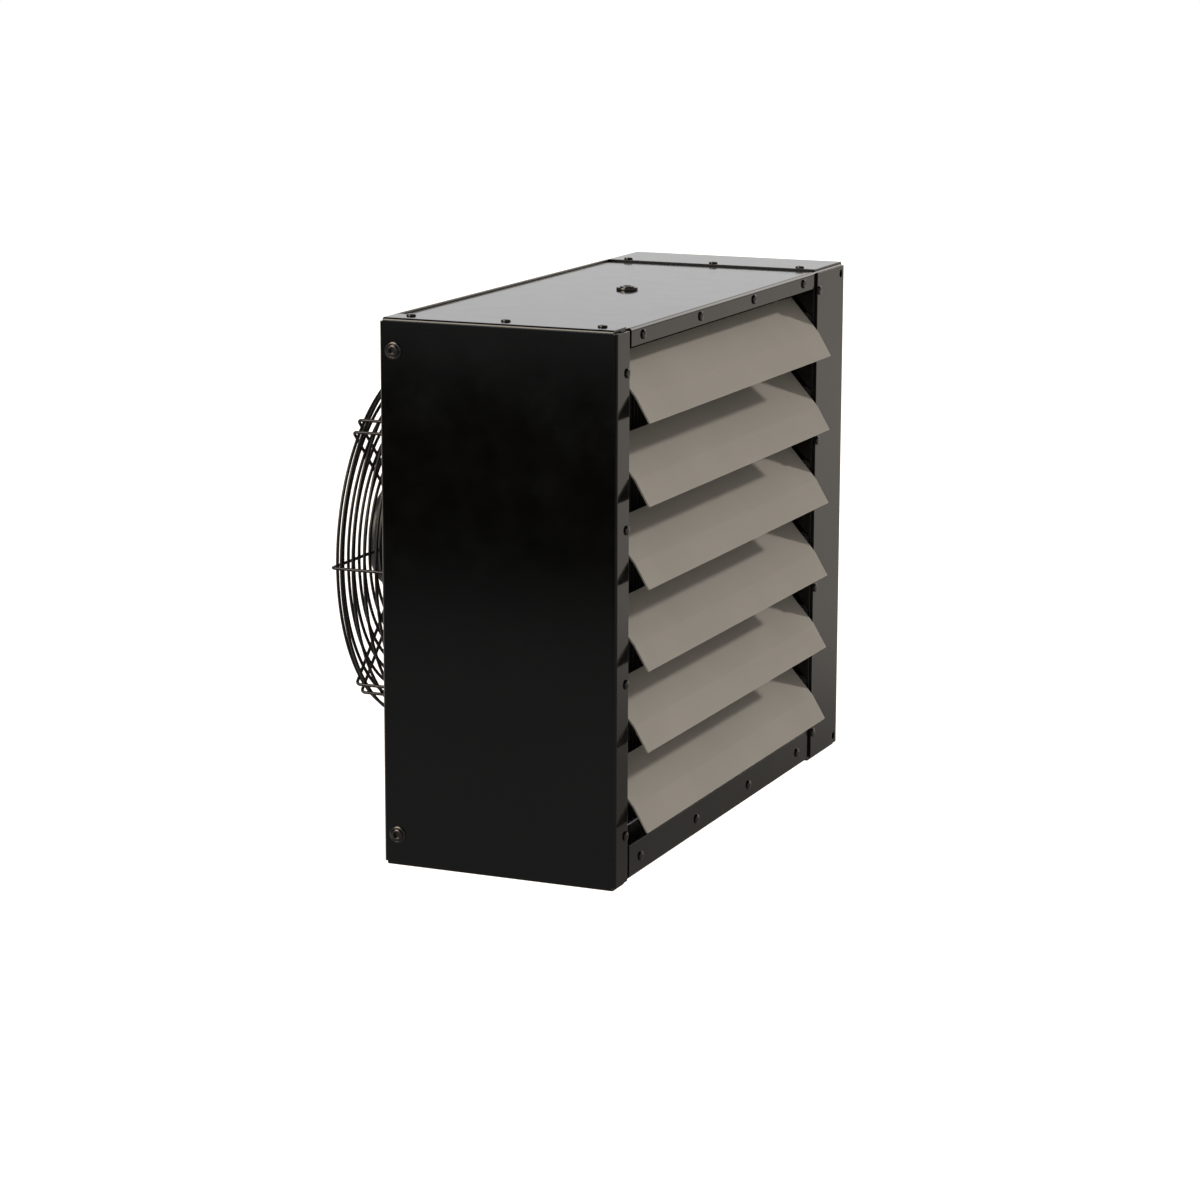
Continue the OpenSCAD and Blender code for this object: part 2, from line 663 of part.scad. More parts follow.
// Outline of a fin or coil plate in Y and Z, with its tube holes
module tube_plate(depth, height) difference() {
    translate([coil_y, z_mid]) square([depth, height], center = true);
    for (k = [0 : tube_count - 1], s = [-1, 1])
        translate([coil_y + s * row_pitch / 2, tube_z(k)]) circle(tube_r + tube_fit);
}
// Stack of separate fins between the two coil plates
module coil_fins() color(coil_black) {
    room = coil_right - coil_left - 2 * coil_plate_t;
    count = floor((room - fin_pitch) / fin_pitch);
    first = coil_left + coil_plate_t + (room - (count - 1) * fin_pitch - fin_t) / 2;
    for (n = [0 : count - 1]) along_x(first + n * fin_pitch, fin_t)
        tube_plate(fin_depth, coil_h - 2 * seat);
}
// Hairpin tubes: out along the front row, round and back along the rear row
module tube_ring() difference() {
    circle(tube_r);
    circle(tube_r - tube_wall);
}
module coil_tubes() color(coil_black) for (k = [0 : tube_count - 1]) translate([0, coil_y, tube_z(k)]) {
    bend_x = coil_left - coil_plate_t;
    for (s = [-1, 1]) translate([bend_x, s * row_pitch / 2, 0]) to_right()
        linear_extrude(tube_end_x - bend_x) tube_ring();
    translate([bend_x, 0, 0]) rotate(90) rotate_extrude(angle = 180)
        translate([row_pitch / 2, 0]) tube_ring();
}
// Flanged plate at each end of the coil; side points away from the fins
module coil_plate(side, face_x) {
    reach = face_x + side * coil_flange_w;
    difference() {
        along_z(z_mid - coil_h / 2, coil_h)
            folded([[reach, coil_front + coil_plate_t / 2],
                    [face_x - side * coil_plate_t / 2, coil_front + coil_plate_t / 2],
                    [face_x - side * coil_plate_t / 2, coil_front + fin_depth - coil_plate_t / 2],
                    [reach, coil_front + fin_depth - coil_plate_t / 2]], coil_plate_t, fold_r);
        for (k = [0 : tube_count - 1], s = [-1, 1])
            translate([face_x, coil_y + s * row_pitch / 2, tube_z(k)]) to_right()
                cylinder(h = 2 * (coil_plate_t + cut), r = tube_r + tube_fit, center = true);
    }
}
module coil_plate_left() color(zinc) coil_plate(-1, coil_left);
module coil_plate_right() color(zinc) coil_plate(1, coil_right);
// Channels that hold the coil off the lids and stop air passing round it
module coil_rail(base_z, lid_z) along_x(coil_left - coil_flange_w, coil_right - coil_left + 2 * coil_flange_w)
    folded([[coil_front + coil_plate_t / 2, lid_z], [coil_front + coil_plate_t / 2, base_z],
            [coil_front + fin_depth - coil_plate_t / 2, base_z],
            [coil_front + fin_depth - coil_plate_t / 2, lid_z]], coil_plate_t, fold_r);
module coil_rail_top() color(zinc)
    coil_rail(z_mid + (coil_h + coil_plate_t) / 2, panel_z - sheet_t);
module coil_rail_bottom() color(zinc)
    coil_rail(z_mid - (coil_h + coil_plate_t) / 2, floor_z + sheet_t);

// Places of the two pipe stubs on the header side: supply low at the rear, return high in front
module at_stubs() {
    translate([body_w / 2 - sheet_t, coil_y + row_pitch / 2, z_mid - stub_rise]) to_right() children();
    translate([body_w / 2 - sheet_t, coil_y - row_pitch / 2, z_mid + stub_rise]) to_right() children();
}
// Header pipe with capped ends, tube holes and a seat for its stub
module header(row, stub_z) translate([header_x, coil_y + row * row_pitch / 2, z_mid]) difference() {
    translate([0, 0, -header_top]) cylinder(h = 2 * header_top, r = header_r);
    translate([0, 0, -header_top + 2 * header_wall])
        cylinder(h = 2 * header_top - 4 * header_wall, r = header_r - header_wall);
    translate([0, 0, stub_z]) to_right() cylinder(h = header_r + cut, r = stub_r + tube_fit);
    for (k = [0 : tube_count - 1]) translate([0, 0, tube_z(k) - z_mid]) to_left()
        cylinder(h = header_r + cut, r = tube_r + tube_fit);
}
module supply_header() color(coil_black) header(1, -stub_rise);
module return_header() color(coil_black) header(-1, stub_rise);
// Stubs from the headers out through the side: pipe, hexagon, neck and spigot
module pipe_stubs() color(brass) at_stubs() translate([0, 0, sheet_t - body_w / 2]) difference() {
    union() {
        translate([0, 0, stub_start_x]) cylinder(h = stub_end_x - cut - stub_start_x, r = stub_r);
        translate([0, 0, stub_hex_x]) cylinder(h = stub_hex_l, r = 2 * (stub_r + stub_hex_step) / sqrt(3), $fn = 6);
        translate([0, 0, spigot_x]) cylinder(h = spigot_l, r = spigot_r);
    }
    translate([0, 0, stub_start_x - cut])
        cylinder(h = stub_end_x - stub_start_x + 2 * cut, r = stub_bore_r);
}
// Rubber grommets round the stubs in the side panel
module pipe_grommets() color(nylon) at_stubs() difference() {
    union() {
        translate([0, 0, sheet_t]) cylinder(h = grommet_lip_t, r = grommet_r);
        cylinder(h = sheet_t, r = grommet_r - 2 * grommet_lip_t - seat);
        translate([0, 0, -grommet_lip_t]) cylinder(h = grommet_lip_t, r = grommet_r);
    }
    translate([0, 0, -grommet_lip_t - cut])
        cylinder(h = sheet_t + 2 * (grommet_lip_t + cut), r = stub_r + seat);
}

// Ring that guides the air round the blade tips
module fan_ring() color(steel_black) round_fan() {
    flange_y = rear_y - sheet_t - ring_t / 2;
    folded([[ring_r + ring_flange_w, flange_y], [ring_r + ring_t / 2, flange_y],
            [ring_r + ring_t / 2, flange_y - ring_l]], ring_t, ring_mouth_r);
}

// One blade as a thin closed shell of rings from root to tip
blade_spans = 8;
blade_cuts = 8;
function blade_point(u, v, lift) =
    let (
        r = can_r + seat + u * (blade_tip_r - can_r - seat),
        chord = root_chord + u * (tip_chord - root_chord),
        pitch = root_angle + u * (tip_angle - root_angle),
        turn = blade_sweep * u * u + v * chord * cos(pitch) / 2 / r * 180 / PI,
        y = blade_y - v * chord * sin(pitch) / 2 + blade_camber * (1 - v * v) + lift)
    [r * cos(turn), y, r * sin(turn)];
function blade_loop(u) = concat(
    [for (k = [0 : blade_cuts]) blade_point(u, 2 * k / blade_cuts - 1, -blade_t / 2)],
    [for (k = [blade_cuts : -1 : 0]) blade_point(u, 2 * k / blade_cuts - 1, blade_t / 2)]);
module blade() {
    n = 2 * (blade_cuts + 1);
    points = [for (s = [0 : blade_spans]) each blade_loop(s / blade_spans)];
    sides = [for (s = [0 : blade_spans - 1], k = [0 : n - 1])
        let (a = s * n + k, b = s * n + (k + 1) % n) each [[a, b, b + n], [a, b + n, a + n]]];
    ends = [for (k = [0 : blade_cuts - 1])
        let (a = k, b = k + 1, c = n - 2 - k, d = n - 1 - k, top = blade_spans * n)
        each [[a, c, b], [a, d, c], [top + a, top + b, top + c], [top + a, top + c, top + d]]];
    polyhedron(points, concat(sides, ends));
}
module fan_blades() color(steel_black)
    for (k = [0 : blade_count - 1]) on_fan(k * 360 / blade_count) blade();

// Turning can of the motor, which carries the blades
module motor_can() color(steel_black) round_fan() polygon([
    [shaft_r + shaft_fit, can_y], [can_r - can_wall, can_y], [can_r, can_y + can_wall],
    [can_r, can_back_y], [can_r - can_wall, can_back_y], [can_r - can_wall, can_y + can_front_t],
    [bearing_r, can_y + can_front_t], [bearing_r, can_y + 2 * can_front_t],
    [shaft_r + shaft_fit, can_y + 2 * can_front_t]]);
module motor_shaft() color(zinc) translate([x_mid, can_y, z_mid]) to_rear()
    cylinder(h = plate_y - can_y - can_wall, r = shaft_r);
// Ball bearings in the housing, one solid each
module motor_bearings() color(zinc) for (y = [core_y, plate_y - can_wall - bearing_w])
    translate([x_mid, y, z_mid]) to_rear() difference() {
        cylinder(h = bearing_w, r = bearing_r);
        translate([0, 0, -cut]) cylinder(h = bearing_w + 2 * cut, r = shaft_r + shaft_fit);
    }
// Fixed housing: bearing tube, body and flange
module motor_housing() color(steel_black) difference() {
    round_fan() polygon([
        [bearing_r + bearing_fit, core_y], [bearing_r + can_wall, core_y],
        [bearing_r + can_wall, housing_y], [housing_r, housing_y],
        [housing_r, plate_y - 2 * can_wall], [housing_flange_r, plate_y - 2 * can_wall],
        [housing_flange_r, plate_y], [bearing_r + bearing_fit, plate_y]]);
    at_motor_screws() screw_hole();
}
module at_motor_screws() for (a = [22.5 : 90 : 360]) on_fan(a)
    translate([motor_screw_r, cap_y, 0]) to_rear() children();
module stator_core() color(zinc) translate([x_mid, core_y, z_mid]) to_rear() difference() {
    cylinder(h = core_l, r = core_r);
    translate([0, 0, -cut]) cylinder(h = core_l + 2 * cut, r = bearing_r + can_wall + bearing_fit);
}
// Winding heads on the two faces of the core
module stator_windings() color(copper) for (y = [core_y - 2 * seat, core_y + core_l + seat])
    translate([x_mid, y, z_mid]) to_rear() difference() {
        translate([0, 0, y < core_y ? -winding_t : 0]) cylinder(h = winding_t + seat, r = winding_r + winding_t);
        translate([0, 0, -winding_t - cut]) cylinder(h = 3 * winding_t + 2 * cut, r = winding_r - winding_t);
    }
// Hollow round cap behind the guard plate, with a hole for the gland
module motor_cap() color(steel_black) difference() {
    round_fan() polygon(concat(
        [[cap_r - cap_wall, cap_y], [cap_r, cap_y]],
        round_corner(cap_r - cap_round, cap_y + cap_l - cap_round, cap_round, 0),
        [[0, cap_y + cap_l], [0, cap_y + cap_l - cap_wall]],
        reversed(round_corner(cap_r - cap_round, cap_y + cap_l - cap_round, cap_round - cap_wall, 0))));
    at_gland() translate([0, 0, -cap_round]) cylinder(h = 2 * cap_round, r = gland_r + screw_fit);
}
module motor_screws() color(zinc) at_motor_screws() screw();
// Cable gland under the cap: neck through the wall, hexagon and clamping dome
module at_gland() translate([x_mid, cap_y + (cap_l - cap_round) / 2, z_mid - cap_r]) to_below() children();
module cable_gland() color(nylon) at_gland() difference() {
    union() {
        translate([0, 0, -2 * gland_r]) cylinder(h = 2 * gland_r + seat, r = gland_r);
        translate([0, 0, seat]) cylinder(h = gland_r, r = 8 / 5 * gland_r, $fn = 6);
        translate([0, 0, gland_r + seat]) cylinder(h = gland_r, r1 = 4 / 3 * gland_r, r2 = gland_r);
    }
    translate([0, 0, -2 * gland_r - cut]) cylinder(h = 4 * gland_r + 2 * cut + seat, r = gland_r / 2);
}

// Plate in the middle of the guard that carries the motor
module guard_plate() color(steel_black) difference() {
    translate([x_mid, plate_y, z_mid]) to_rear() cylinder(h = plate_t, r = plate_r);
    at_motor_screws() screw_hole();
}
// Quarter bend of guard wire in the radius and Y plane, between directions a and a + 90
module wire_bend(r, a) rotate(a) rotate_extrude(angle = 90) translate([r, 0]) circle(d = wire_d);
// Wire from the plate out to the wall and forward to y_end
module bent_spoke(y_end) {
    translate([spoke_in_r, guard_y, 0]) to_right()
        cylinder(h = guard_r - wire_bend_r - spoke_in_r, d = wire_d);
    translate([guard_r - wire_bend_r, guard_y - wire_bend_r, 0]) wire_bend(wire_bend_r, 0);
    translate([guard_r, y_end, 0]) to_rear() cylinder(h = guard_y - wire_bend_r - y_end, d = wire_d);
}
// Pair of spokes joined by a mounting loop that lies on the rear panel
module looped_spoke() {
    for (s = [-1, 1]) translate([0, 0, s * loop_w / 2]) {
        bent_spoke(foot_y + wire_bend_r);
        translate([guard_r + wire_bend_r, foot_y + wire_bend_r, 0]) wire_bend(wire_bend_r, 180);
        translate([guard_r + wire_bend_r, foot_y, 0]) to_right()
            cylinder(h = loop_out - wire_bend_r, d = wire_d);
    }
    translate([loop_end_r, foot_y, 0]) rotate([90, 0, 0]) rotate(-90)
        rotate_extrude(angle = 180) translate([loop_w / 2, 0]) circle(d = wire_d);
}
module guard_spokes() color(steel_black) for (a = [0 : 90 : 270]) on_fan(a)
    bent_spoke(ring_y - wall_ring_first - (wall_ring_count - 1) * wall_ring_pitch - wire_d / 2);
module guard_loops() color(steel_black) at_guard_loops() looped_spoke();
module wire_ring(r, y) translate([x_mid, y, z_mid]) to_rear()
    rotate_extrude() translate([r, 0]) circle(d = wire_d);
module guard_end_rings() color(steel_black)
    for (k = [0 : end_ring_count - 1]) wire_ring(end_ring_r - k * end_ring_pitch, ring_y);
module guard_wall_rings() color(steel_black)
    for (k = [0 : wall_ring_count - 1]) wire_ring(wall_ring_r, ring_y - wall_ring_first - k * wall_ring_pitch);
// Screws and wide washers that clamp the mounting loops
module at_guard_screws() at_guard_loops() translate([loop_end_r, foot_y + wire_d / 2, 0]) to_rear() children();
module guard_washers() color(steel_black) at_guard_screws() difference() {
    cylinder(h = washer_t, r = guard_head_r);
    translate([0, 0, -cut]) cylinder(h = washer_t + 2 * cut, r = guard_shank_r + screw_fit);
}
module guard_screws() color(steel_black) at_guard_screws() translate([0, 0, washer_t])
    screw(r = guard_head_r * 3 / 4, h = 3 / 2 * head_h, stem_r = guard_shank_r, stem_l = 2 * shank_l);

// Channel under the top panel that takes the hanging load
module hanger_rail() color(zinc) difference() {
    along_x(-panel_end, 2 * panel_end)
        folded([[-(rail_w - sheet_t) / 2, panel_z - sheet_t - rail_h],
                [-(rail_w - sheet_t) / 2, panel_z - 3 * sheet_t / 2],
                [(rail_w - sheet_t) / 2, panel_z - 3 * sheet_t / 2],
                [(rail_w - sheet_t) / 2, panel_z - sheet_t - rail_h]], sheet_t, fold_r);
    at_lid_fixings() screw_hole();
    translate([0, 0, panel_z - 3 * sheet_t]) cylinder(h = 4 * sheet_t, r = hanger_sleeve_r + screw_fit);
}
// Hexagon with a collar above the lid and a threaded sleeve through it
module hanger_nut() color(steel_black) difference() {
    union() {
        translate([0, 0, panel_z]) hex_head(hanger_flats, hanger_hex_h);
        translate([0, 0, -hanger_collar_h - cut]) cylinder(h = hanger_collar_h + cut, r = hanger_collar_r);
        translate([0, 0, sleeve_z]) cylinder(h = panel_z + cut - sleeve_z, r = hanger_sleeve_r);
    }
    translate([0, 0, sleeve_z - cut]) cylinder(h = 2 * cut - sleeve_z, r = hanger_thread_r);
}
sleeve_z = panel_z - 2 * sheet_t - hanger_sleeve_l;
module hanger_lock_nut() color(zinc) translate([0, 0, panel_z - 2 * sheet_t - lock_nut_h]) difference() {
    cylinder(h = lock_nut_h, r = hanger_flats / sqrt(3), $fn = 6);
    translate([0, 0, -cut]) cylinder(h = lock_nut_h + 2 * cut, r = hanger_sleeve_r + screw_fit);
}

// Side bolts with washers, and the nuts fixed inside the side panels
module bolt_hole() translate([0, 0, -sheet_t - cut]) cylinder(h = sheet_t + 2 * cut, r = bolt_r + screw_fit);
module bolt() {
    translate([0, 0, washer_t]) hex_head(bolt_flats, bolt_head_h);
    translate([0, 0, -sheet_t - bolt_nut_h]) cylinder(h = washer_t + sheet_t + bolt_nut_h, r = bolt_r);
}
module washer(t) difference() {
    cylinder(h = t, r = washer_r);
    translate([0, 0, -cut]) cylinder(h = t + 2 * cut, r = bolt_r + screw_fit);
}
module side_bolts() color(steel_black) {
    at_left_bolts() bolt();
    at_right_bolts() bolt();
}
module side_washers() color(steel_black) {
    at_left_bolts() washer(washer_t);
    at_right_bolts() washer(washer_t);
}
module weld_nut() translate([0, 0, -sheet_t - bolt_nut_h]) difference() {
    cylinder(h = bolt_nut_h, r = bolt_flats / sqrt(3), $fn = 6);
    translate([0, 0, -cut]) cylinder(h = bolt_nut_h + 2 * cut, r = bolt_r + screw_fit);
}
module side_nuts() color(zinc) {
    at_left_bolts() weld_nut();
    at_right_bolts() weld_nut();
}
module front_screws() color(steel_black) {
    at_strip_fixings() screw();
    at_flange_fixings() screw();
}
module lid_screws() color(steel_black) at_lid_fixings() screw();
module rear_screws() color(steel_black) at_rear_fixings() screw();

side_panel_left();
side_panel_right();
top_panel();
bottom_panel();
rear_panel();
louvre_bracket_left();
louvre_bracket_right();
louvre_rail_top();
louvre_rail_bottom();
louvre_bushes();
louvre_1();
louvre_2();
louvre_3();
louvre_4();
louvre_5();
louvre_6();
louvre_1_pivots();
louvre_2_pivots();
louvre_3_pivots();
louvre_4_pivots();
louvre_5_pivots();
louvre_6_pivots();
coil_fins();
coil_tubes();
coil_plate_left();
coil_plate_right();
coil_rail_top();
coil_rail_bottom();
supply_header();
return_header();
pipe_stubs();
pipe_grommets();
fan_ring();
fan_blades();
motor_can();
motor_shaft();
motor_bearings();
stator_core();
stator_windings();
motor_housing();
motor_cap();
motor_screws();
cable_gland();
guard_plate();
guard_spokes();
guard_loops();
guard_end_rings();
guard_wall_rings();
guard_washers();
guard_screws();
hanger_rail();
hanger_nut();
hanger_lock_nut();
side_bolts();
side_washers();
side_nuts();
front_screws();
lid_screws();
rear_screws();
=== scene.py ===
"""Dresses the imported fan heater: finishes, fixings, light, floor and the photograph's camera."""

import json
import math

import bmesh
import bpy
from mathutils import Matrix, Vector


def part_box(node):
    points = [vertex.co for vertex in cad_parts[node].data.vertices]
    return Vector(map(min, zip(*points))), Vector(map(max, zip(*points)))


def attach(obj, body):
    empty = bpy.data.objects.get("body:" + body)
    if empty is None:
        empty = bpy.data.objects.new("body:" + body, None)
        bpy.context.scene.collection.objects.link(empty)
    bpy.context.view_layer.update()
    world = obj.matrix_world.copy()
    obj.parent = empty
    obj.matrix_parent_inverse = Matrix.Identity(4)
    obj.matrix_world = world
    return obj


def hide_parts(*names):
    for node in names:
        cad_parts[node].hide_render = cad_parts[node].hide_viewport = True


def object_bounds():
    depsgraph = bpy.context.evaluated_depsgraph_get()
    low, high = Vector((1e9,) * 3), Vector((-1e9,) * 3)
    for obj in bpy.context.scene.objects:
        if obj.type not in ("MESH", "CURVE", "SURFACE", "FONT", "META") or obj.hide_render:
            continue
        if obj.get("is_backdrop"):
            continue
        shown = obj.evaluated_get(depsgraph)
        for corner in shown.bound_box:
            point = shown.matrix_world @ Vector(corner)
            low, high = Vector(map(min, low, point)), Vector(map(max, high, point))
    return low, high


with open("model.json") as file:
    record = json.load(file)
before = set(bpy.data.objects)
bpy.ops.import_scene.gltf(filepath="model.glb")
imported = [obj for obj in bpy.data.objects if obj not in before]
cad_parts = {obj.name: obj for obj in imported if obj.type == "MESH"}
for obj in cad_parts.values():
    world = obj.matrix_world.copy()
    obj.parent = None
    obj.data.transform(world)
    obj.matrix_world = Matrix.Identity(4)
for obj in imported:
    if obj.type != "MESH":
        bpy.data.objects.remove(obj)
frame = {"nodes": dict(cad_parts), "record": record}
NODES = frame["nodes"]
CAD_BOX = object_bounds()

# ---- camera, in metres and degrees where the name gives no other unit ----
IMAGE_SIDE_PX = 1200
SENSOR_MM = 36.0
CAMERA_FOCAL_PX = 3506.7
CAMERA_AT = (-3.0402, -1.2778, 0.3922)
CAMERA_YAW, CAMERA_PITCH, CAMERA_ROLL = 66.772, 11.904, -0.160
CAMERA_CLIP = (0.05, 60.0)


def make_camera():
    """Camera at the place solved from the photograph's edges."""
    yaw, pitch, roll = (math.radians(a) for a in (CAMERA_YAW, CAMERA_PITCH, CAMERA_ROLL))
    look = Vector(
        (math.sin(yaw) * math.cos(pitch), math.cos(yaw) * math.cos(pitch), -math.sin(pitch))
    )
    right = Vector((math.cos(yaw), -math.sin(yaw), 0.0))
    down = look.cross(right)
    right, down = (
        right * math.cos(roll) + down * math.sin(roll),
        down * math.cos(roll) - right * math.sin(roll),
    )
    data = bpy.data.cameras.new("camera")
    data.sensor_width = SENSOR_MM
    data.lens = CAMERA_FOCAL_PX * SENSOR_MM / IMAGE_SIDE_PX
    data.clip_start, data.clip_end = CAMERA_CLIP
    camera = bpy.data.objects.new("camera", data)
    bpy.context.scene.collection.objects.link(camera)
    turn = Matrix((right, -down, -look)).transposed()
    camera.matrix_world = Matrix.Translation(CAMERA_AT) @ turn.to_4x4()
    bpy.context.scene.camera = camera


# ---- node helpers ----
WHITE = (1.0, 1.0, 1.0)
# Sockets of the Mix node when it mixes colours
MIX_SHARE, MIX_FIRST, MIX_SECOND, MIX_RESULT = 0, 6, 7, 2
# Cosine of the angle between the rounded and the true normal where an edge starts and is full
EDGE_STARTS, EDGE_FULL = 0.995, 0.8
EDGE_SAMPLES = 4
SOFT_EDGE_SAMPLES = 6


class Nodes:
    """Short calls for adding linked nodes to a tree."""

    def __init__(self, tree):
        self.nodes, self.links = tree.nodes, tree.links
        self.nodes.clear()

    def put(self, node, socket, source):
        """Links a socket to another one, or sets it to a plain value."""
        if isinstance(source, bpy.types.NodeSocket):
            self.links.new(source, node.inputs[socket])
        else:
            node.inputs[socket].default_value = source

    def add(self, kind, inputs=None, **settings):
        """Node with its settings made and its inputs linked or set."""
        node = self.nodes.new(kind)
        for key, value in settings.items():
            setattr(node, key, value)
        for socket, source in (inputs or {}).items():
            self.put(node, socket, source)
        return node

    def math(self, how, a, b=0.0):
        return self.add("ShaderNodeMath", {0: a, 1: b}, operation=how).outputs[0]

    def fit(self, value, low, high, to_low=0.0, to_high=1.0, ease="LINEAR"):
        """Value carried from one range to another and held at its ends."""
        ranges = {"From Min": low, "From Max": high, "To Min": to_low, "To Max": to_high}
        return self.add(
            "ShaderNodeMapRange", {"Value": value, **ranges}, interpolation_type=ease
        ).outputs["Result"]


class Tree(Nodes):
    """Short calls for building a material."""

    def __init__(self, name):
        self.material = bpy.data.materials.new(name)
        self.material.use_nodes = True
        super().__init__(self.material.node_tree)
        self.out = self.nodes.new("ShaderNodeOutputMaterial")
        self.place = self.nodes.new("ShaderNodeTexCoord").outputs["Object"]

    def noise(self, scale, detail=3.0, rough=0.5, place=None):
        """Noise with about scale cells in a metre."""
        return self.add(
            "ShaderNodeTexNoise",
            {
                "Vector": place or self.place,
                "Scale": scale,
                "Detail": detail,
                "Roughness": rough,
            },
        ).outputs["Fac"]

    def mix(self, share, first, second):
        """Colour between two others; each is a link or three numbers."""
        node = self.nodes.new("ShaderNodeMix")
        node.data_type = "RGBA"
        self.put(node, MIX_SHARE, share)
        for socket, color in ((MIX_FIRST, first), (MIX_SECOND, second)):
            plain = not isinstance(color, bpy.types.NodeSocket)
            self.put(node, socket, (*color, 1.0) if plain else color)
        return node.outputs[MIX_RESULT]

    def rounded(self, radius, samples):
        """Normal that is rounded over edges within a radius."""
        return self.add("ShaderNodeBevel", {"Radius": radius}, samples=samples).outputs["Normal"]

    def edge(self, radius):
        """Share that is 1 at edges and 0 on flats farther from them than radius."""
        true = self.add("ShaderNodeNewGeometry").outputs["True Normal"]
        pair = {0: self.rounded(radius, EDGE_SAMPLES), 1: true}
        match = self.add("ShaderNodeVectorMath", pair, operation="DOT_PRODUCT").outputs["Value"]
        return self.fit(match, EDGE_STARTS, EDGE_FULL)

    def bump(self, height, strength, distance, normal=None):
        """Normal bent by a height, from a given normal or the surface's own."""
        inputs = {"Height": height, "Strength": strength, "Distance": distance}
        if normal is not None:
            inputs["Normal"] = normal
        return self.add("ShaderNodeBump", inputs).outputs["Normal"]

    def surface(self, **inputs):
        """Ends the material with a principled shader; _ stands for a space in a socket's name."""
        named = {key.replace("_", " "): source for key, source in inputs.items()}
        shader = self.add("ShaderNodeBsdfPrincipled", named)
        self.links.new(shader.outputs["BSDF"], self.out.inputs["Surface"])


# ---- finishes: lengths in metres, scales in cells for a metre ----
def powder_coat(
    name,
    tint,
    edge_wear_and_highlight,
    rough,
    grain=1400.0,
    depth=0.00006,
    edge_radius=0.0012,
    specular=0.5,
    uneven=0.12,
    ripple=0.05,
    metallic=0.0,
    soft_edge=None,
):
    """Powder paint, or black zinc if metallic: fine grain, colour drift, faint rubs, and paler
    edges: worn paint, and on the black casing also a painted highlight along the bends.
    """
    t = Tree(name)
    drift = t.noise(scale=9.0, detail=4.0, rough=0.6)
    fleck = t.noise(scale=grain * 0.7, detail=2.0, rough=0.6)
    rub = t.noise(scale=26.0, detail=6.0, rough=0.7)
    chips = t.noise(scale=160.0, detail=4.0)
    paler = tuple(min(1.0, c * (1 + uneven) + 0.0005) for c in tint)
    darker = tuple(c * (1 - uneven) for c in tint)
    color = t.mix(t.fit(drift, low=0.3, high=0.7), darker, paler)
    color = t.mix(t.fit(fleck, low=0.55, high=0.85, to_high=0.25), color, paler)
    chipped = t.fit(chips, low=0.35, high=0.75, to_low=0.25)
    # Edges take a paler colour, broken up by chips: worn paint, and on the black casing also a
    # painted highlight along the bends
    color = t.mix(t.math("MULTIPLY", t.edge(edge_radius), chipped), color, edge_wear_and_highlight)
    gloss = t.fit(rub, low=0.35, high=0.75, to_low=rough - 0.03, to_high=rough + 0.04)
    normal = t.rounded(soft_edge, SOFT_EDGE_SAMPLES) if soft_edge else None
    peel = t.noise(scale=grain, detail=2.0)
    normal = t.bump(peel, strength=0.35, distance=depth, normal=normal)
    wave = t.noise(scale=120.0, detail=2.0, rough=0.4)
    normal = t.bump(wave, strength=ripple, distance=0.0002, normal=normal)
    t.surface(
        Base_Color=color,
        Roughness=gloss,
        Normal=normal,
        Specular_IOR_Level=specular,
        Metallic=metallic,
    )
    return t.material


def zinc_plate(name):
    """Galvanised sheet: pale spangle with darker stains."""
    t = Tree(name)
    cells = t.add("ShaderNodeTexVoronoi", {"Vector": t.place, "Scale": 160.0}).outputs["Color"]
    tone = t.add("ShaderNodeSeparateColor", {0: cells}).outputs["Red"]
    color = t.mix(tone, (0.42, 0.43, 0.45), (0.60, 0.61, 0.63))
    stain = t.noise(scale=18.0, detail=5.0, rough=0.6)
    stained = t.fit(stain, low=0.55, high=0.8, to_high=0.35)
    color = t.mix(stained, color, (0.30, 0.30, 0.30))
    gloss = t.fit(tone, low=0.0, high=1.0, to_low=0.28, to_high=0.48)
    normal = t.bump(stain, strength=0.15, distance=0.0002)
    t.surface(Base_Color=color, Metallic=0.9, Roughness=gloss, Normal=normal)
    return t.material


def metal(name, tint, dull, rough, brushed=(700.0, 700.0, 40.0)):
    """Plain metal with turning or drawing marks and tarnish."""
    t = Tree(name)
    grain = t.add("ShaderNodeMapping", {"Vector": t.place, "Scale": brushed}).outputs["Vector"]
    marks = t.noise(scale=1.0, detail=3.0, rough=0.6, place=grain)
    tarnish = t.fit(t.noise(scale=30.0, detail=5.0), low=0.4, high=0.75, to_high=0.6)
    color = t.mix(tarnish, tint, dull)
    gloss = t.fit(marks, low=0.3, high=0.7, to_low=rough - 0.07, to_high=rough + 0.1)
    normal = t.bump(marks, strength=0.12, distance=0.0001)
    t.surface(Base_Color=color, Metallic=1.0, Roughness=gloss, Normal=normal)
    return t.material


def moulded(name, tint, rough):
    """Moulded plastic or rubber with a fine spark texture."""
    t = Tree(name)
    grain = t.noise(scale=2200.0, detail=2.0, rough=0.7)
    pale = tuple(min(1.0, c * 1.5 + 0.01) for c in tint)
    faded = t.fit(t.noise(scale=40.0, detail=4.0), low=0.4, high=0.8, to_high=0.6)
    color = t.mix(faded, tint, pale)
    gloss = t.fit(grain, low=0.3, high=0.7, to_low=rough - 0.05, to_high=rough + 0.08)
    normal = t.bump(grain, strength=0.3, distance=0.00005)
    t.surface(Base_Color=color, Roughness=gloss, Normal=normal)
    return t.material


def windings(name):
    """Enamelled copper wire laid round the fan axis."""
    t = Tree(name)
    wires = t.add(
        "ShaderNodeTexWave",
        {"Vector": t.place, "Scale": 420.0, "Distortion": 1.5, "Detail": 1.0},
        bands_direction="Y",
    ).outputs["Fac"]
    color = t.mix(wires, (0.32, 0.12, 0.05), (0.66, 0.30, 0.14))
    normal = t.bump(wires, strength=0.6, distance=0.0003)
    t.surface(Base_Color=color, Metallic=0.8, Roughness=0.38, Normal=normal)
    return t.material


